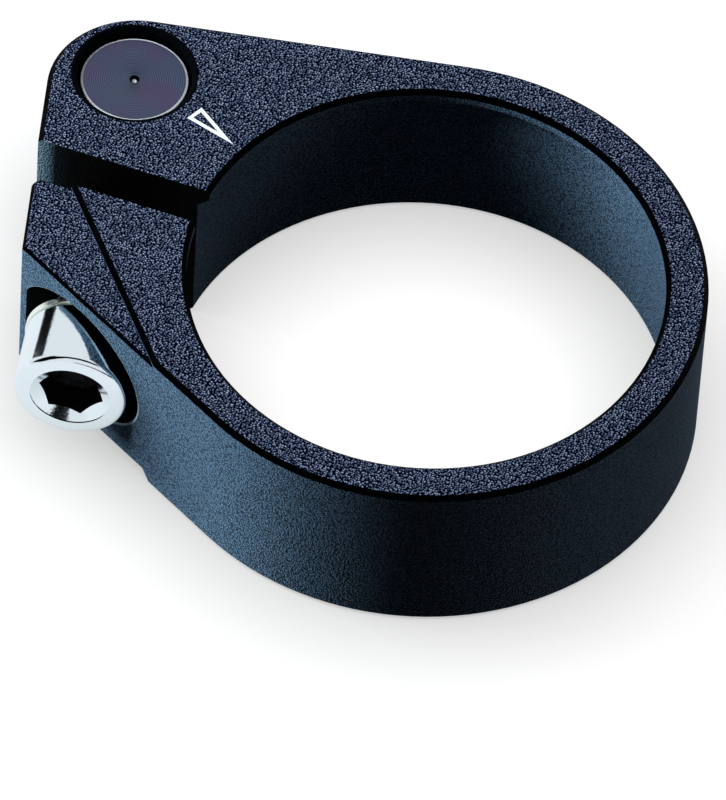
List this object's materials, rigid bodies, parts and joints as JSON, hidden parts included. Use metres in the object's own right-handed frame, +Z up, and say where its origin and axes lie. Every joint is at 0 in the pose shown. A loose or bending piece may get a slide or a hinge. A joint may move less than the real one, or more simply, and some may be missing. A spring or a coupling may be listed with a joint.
{
  "type": "seatpost clamp",
  "caption": "Split aluminium seatpost clamp collar with a top lip, drawn shut across its slot by a socket-head bolt that screws into a barrel nut.",
  "frame": {"origin": "on the bore's axis, at the collar's lower face", "axes": "+Z up along the bore, the lip at the top; -X along the slot, towards the lugs; the barrel nut at +Y and the bolt's head at -Y"},
  "size_m": [0.0504, 0.039, 0.0135],
  "materials": {
    "black_anodised": "bead-blasted and black anodised",
    "turned_steel": "turned, fine concentric tool marks",
    "chromed_steel": "bright chrome",
    "plated_washer": "bright plated"
  },
  "bodies": {
    "collar": {"clamp_collar": "black_anodised"},
    "nut": {"barrel_nut": "turned_steel"},
    "washer": {"bolt_washer": "plated_washer"},
    "bolt": {"clamp_bolt": "chromed_steel"}
  },
  "joints": [
    {"name": "nut_swivel", "type": "hinge", "parent": "collar", "child": "nut", "pos_m": [-0.0252, 0.0096, 0.00705], "axis": [0, 0, 1], "range_deg": [-1.5, 1.5]},
    {"name": "bolt_back_out", "type": "slide", "parent": "nut", "child": "washer", "axis": [0.1822, -0.9833, 0], "range_m": [-0.0014, 0.0008]},
    {"name": "bolt_turn", "type": "hinge", "parent": "washer", "child": "bolt", "pos_m": [-0.0252, 0.0096, 0.00705], "axis": [0.1822, -0.9833, 0], "range_deg": [-630, 360]}
  ],
  "couplings": [
    {"joint": "bolt_turn", "follows": "bolt_back_out", "rad_per_m": 7854}
  ]
}
